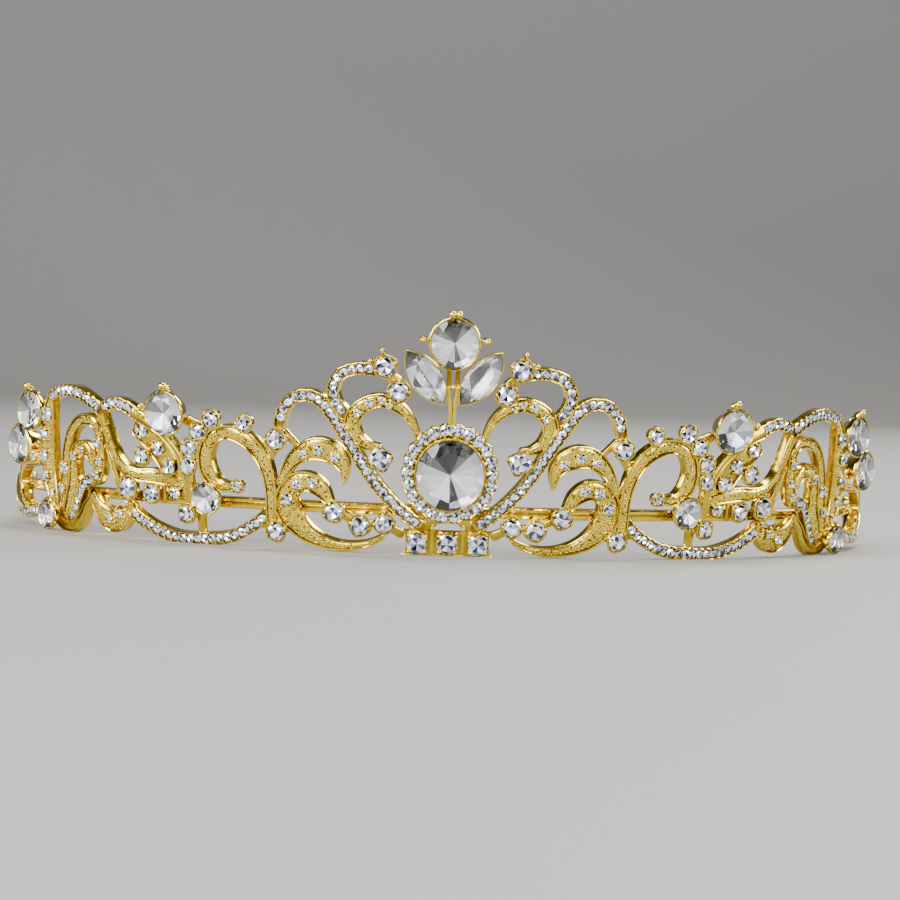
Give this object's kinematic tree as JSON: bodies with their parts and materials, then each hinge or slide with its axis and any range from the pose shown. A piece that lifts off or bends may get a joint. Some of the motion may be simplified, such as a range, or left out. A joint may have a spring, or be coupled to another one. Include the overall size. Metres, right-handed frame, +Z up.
{
  "type": "tiara",
  "caption": "Openwork tiara of soldered gilt scrollwork set with cut crystals, on a springy open headband with an eyelet at each end.",
  "frame": {"origin": "the middle of the box around the tiara, on the plane that it rests on", "axes": "+Z up, -Y towards the front of the tiara, +X along its width to the viewer's right of the front"},
  "size_m": [0.1504, 0.1254, 0.0395],
  "materials": {
    "gold": "polished gilt metal, granulated in the scrolls",
    "crystal": "clear cut glass with a foil back"
  },
  "bodies": {
    "root": {"tiara_frame": "gold", "crest_stone": "crystal", "centre_stone": "crystal", "navette_stone_right": "crystal", "navette_stone_left": "crystal", "upper_collet_stone_right": "crystal", "upper_collet_stone_left": "crystal", "lower_collet_stone_right": "crystal", "lower_collet_stone_left": "crystal", "scroll_end_stone_right": "crystal", "scroll_end_stone_left": "crystal", "loop_end_stone_right": "crystal", "loop_end_stone_left": "crystal", "neck_stone_right": "crystal", "neck_stone_left": "crystal", "row_outer_stone_right": "crystal", "row_outer_stone_left": "crystal", "row_middle_stone_right": "crystal", "row_middle_stone_left": "crystal", "row_inner_stone_right": "crystal", "row_inner_stone_left": "crystal", "rim_stone_right": "crystal", "rim_stone_left": "crystal", "wing_great_stone_right": "crystal", "wing_great_stone_left": "crystal", "wing_round_stone_right": "crystal", "wing_round_stone_left": "crystal", "side_upper_stone_right": "crystal", "side_upper_stone_left": "crystal", "side_lower_stone_right": "crystal", "side_lower_stone_left": "crystal", "drop_stone_right": "crystal", "drop_stone_left": "crystal", "halo_stones": "crystal", "base_stones": "crystal", "heart_line_stones_right": "crystal", "heart_line_stones_left": "crystal", "shoulder_stones_right": "crystal", "shoulder_stones_left": "crystal", "panel_stones_right": "crystal", "panel_stones_left": "crystal", "chain_stones_right": "crystal", "chain_stones_left": "crystal", "wing_stones_right": "crystal", "wing_stones_left": "crystal", "wing_loop_stones_right": "crystal", "wing_loop_stones_left": "crystal", "side_stones_right": "crystal", "side_stones_left": "crystal", "side_loop_stones_right": "crystal", "side_loop_stones_left": "crystal"}
  },
  "joints": []
}
